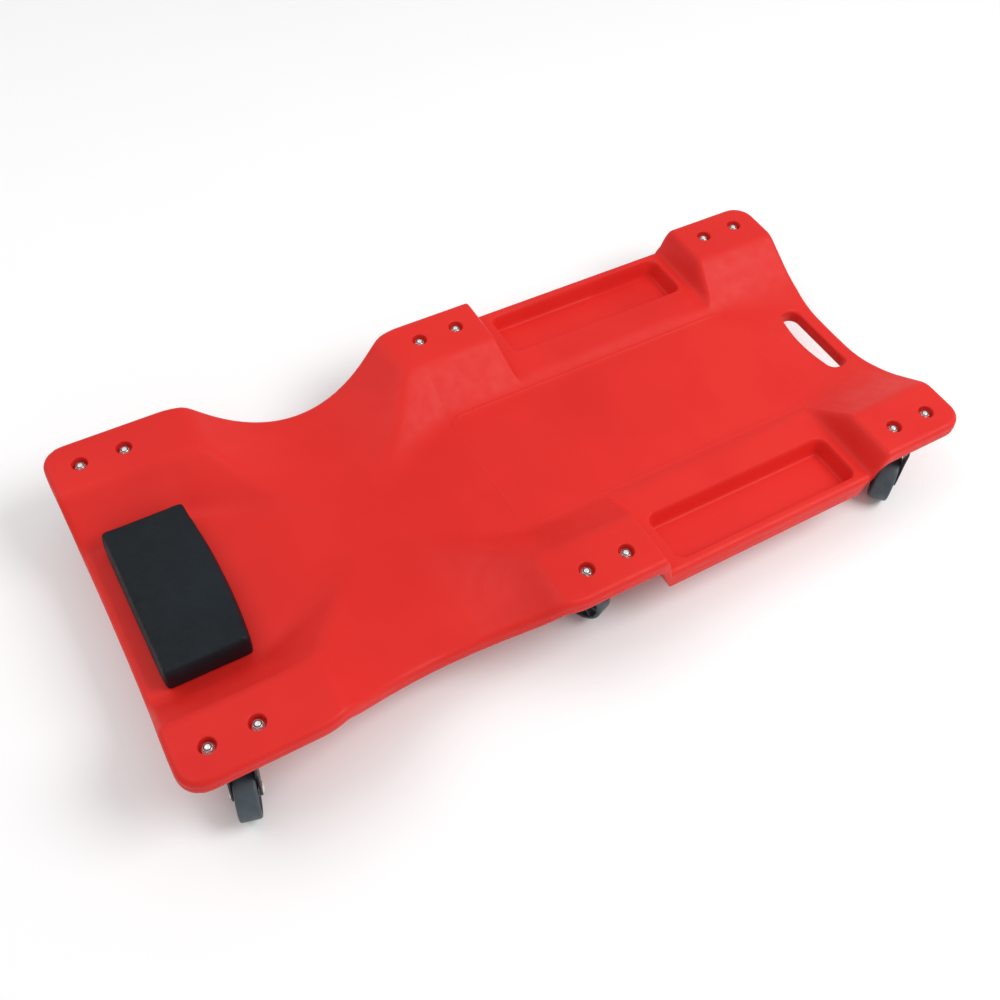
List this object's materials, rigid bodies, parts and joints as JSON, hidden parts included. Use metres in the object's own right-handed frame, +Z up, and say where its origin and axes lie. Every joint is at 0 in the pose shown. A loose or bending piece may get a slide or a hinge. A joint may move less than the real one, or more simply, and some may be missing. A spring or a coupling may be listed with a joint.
{
  "type": "mechanics creeper",
  "caption": "Low dished rolling board on swivel casters, with side trays, arm cut-outs, a hand slot and a padded headrest.",
  "frame": {"origin": "on the floor under the middle of the board: the centre of the bottom of the bounding box", "axes": "+X along the length to the foot end with the hand slot, +Y across to the left-hand side of somebody lying face up, +Z up"},
  "size_m": [1.02, 0.5058, 0.1205],
  "materials": {
    "deck": "fine moulded grain, low sheen, light scuffs",
    "board": "plain moulded board, hidden under the vinyl",
    "vinyl": "black vinyl, soft sheen, fine crosswise wrinkles",
    "wheel": "slate grey hard plastic, rolled-in dust on the tread",
    "bracket": "black enamel on pressed steel",
    "zinc": "bright zinc plate"
  },
  "bodies": {
    "board": {"deck": "deck", "headrest_board": "board", "headrest_pad": "vinyl", "headrest_screw_right": "zinc", "headrest_screw_left": "zinc", "head_right_plate": "bracket", "head_right_kingpin": "zinc", "head_right_bolt_a": "zinc", "head_right_nut_a": "zinc", "head_right_bolt_b": "zinc", "head_right_nut_b": "zinc", "head_left_plate": "bracket", "head_left_kingpin": "zinc", "head_left_bolt_a": "zinc", "head_left_nut_a": "zinc", "head_left_bolt_b": "zinc", "head_left_nut_b": "zinc", "middle_right_plate": "bracket", "middle_right_kingpin": "zinc", "middle_right_bolt_a": "zinc", "middle_right_nut_a": "zinc", "middle_right_bolt_b": "zinc", "middle_right_nut_b": "zinc", "middle_left_plate": "bracket", "middle_left_kingpin": "zinc", "middle_left_bolt_a": "zinc", "middle_left_nut_a": "zinc", "middle_left_bolt_b": "zinc", "middle_left_nut_b": "zinc", "foot_right_plate": "bracket", "foot_right_kingpin": "zinc", "foot_right_bolt_a": "zinc", "foot_right_nut_a": "zinc", "foot_right_bolt_b": "zinc", "foot_right_nut_b": "zinc", "foot_left_plate": "bracket", "foot_left_kingpin": "zinc", "foot_left_bolt_a": "zinc", "foot_left_nut_a": "zinc", "foot_left_bolt_b": "zinc", "foot_left_nut_b": "zinc"},
    "head_right_swivel": {"head_right_fork": "bracket", "head_right_axle": "zinc"},
    "head_right_roller": {"head_right_wheel": "wheel"},
    "head_left_swivel": {"head_left_fork": "bracket", "head_left_axle": "zinc"},
    "head_left_roller": {"head_left_wheel": "wheel"},
    "middle_right_swivel": {"middle_right_fork": "bracket", "middle_right_axle": "zinc"},
    "middle_right_roller": {"middle_right_wheel": "wheel"},
    "middle_left_swivel": {"middle_left_fork": "bracket", "middle_left_axle": "zinc"},
    "middle_left_roller": {"middle_left_wheel": "wheel"},
    "foot_right_swivel": {"foot_right_fork": "bracket", "foot_right_axle": "zinc"},
    "foot_right_roller": {"foot_right_wheel": "wheel"},
    "foot_left_swivel": {"foot_left_fork": "bracket", "foot_left_axle": "zinc"},
    "foot_left_roller": {"foot_left_wheel": "wheel"}
  },
  "joints": [
    {"name": "head_right_swivel_turn", "type": "hinge", "parent": "board", "child": "head_right_swivel", "pos_m": [-0.445, -0.2, 0.09], "axis": [0, 0, 1], "continuous": true},
    {"name": "head_right_wheel_roll", "type": "hinge", "parent": "head_right_swivel", "child": "head_right_roller", "pos_m": [-0.45044, -0.22028, 0.0315], "axis": [0.9659, -0.2588, 0], "continuous": true},
    {"name": "head_left_swivel_turn", "type": "hinge", "parent": "board", "child": "head_left_swivel", "pos_m": [-0.445, 0.2, 0.09], "axis": [0, 0, 1], "continuous": true},
    {"name": "head_left_wheel_roll", "type": "hinge", "parent": "head_left_swivel", "child": "head_left_roller", "pos_m": [-0.45044, 0.22028, 0.0315], "axis": [-0.9659, -0.2588, 0], "continuous": true},
    {"name": "middle_right_swivel_turn", "type": "hinge", "parent": "board", "child": "middle_right_swivel", "pos_m": [-0.005, -0.2, 0.09], "axis": [0, 0, 1], "continuous": true},
    {"name": "middle_right_wheel_roll", "type": "hinge", "parent": "middle_right_swivel", "child": "middle_right_roller", "pos_m": [-0.01287, -0.18053, 0.0315], "axis": [-0.9272, -0.3746, 0], "continuous": true},
    {"name": "middle_left_swivel_turn", "type": "hinge", "parent": "board", "child": "middle_left_swivel", "pos_m": [-0.005, 0.2, 0.09], "axis": [0, 0, 1], "continuous": true},
    {"name": "middle_left_wheel_roll", "type": "hinge", "parent": "middle_left_swivel", "child": "middle_left_roller", "pos_m": [-0.01287, 0.18053, 0.0315], "axis": [0.9272, -0.3746, 0], "continuous": true},
    {"name": "foot_right_swivel_turn", "type": "hinge", "parent": "board", "child": "foot_right_swivel", "pos_m": [0.445, -0.2, 0.09], "axis": [0, 0, 1], "continuous": true},
    {"name": "foot_right_wheel_roll", "type": "hinge", "parent": "foot_right_swivel", "child": "foot_right_roller", "pos_m": [0.42823, -0.21264, 0.0315], "axis": [0.6018, -0.7986, 0], "continuous": true},
    {"name": "foot_left_swivel_turn", "type": "hinge", "parent": "board", "child": "foot_left_swivel", "pos_m": [0.445, 0.2, 0.09], "axis": [0, 0, 1], "continuous": true},
    {"name": "foot_left_wheel_roll", "type": "hinge", "parent": "foot_left_swivel", "child": "foot_left_roller", "pos_m": [0.42823, 0.21264, 0.0315], "axis": [-0.6018, -0.7986, 0], "continuous": true}
  ]
}
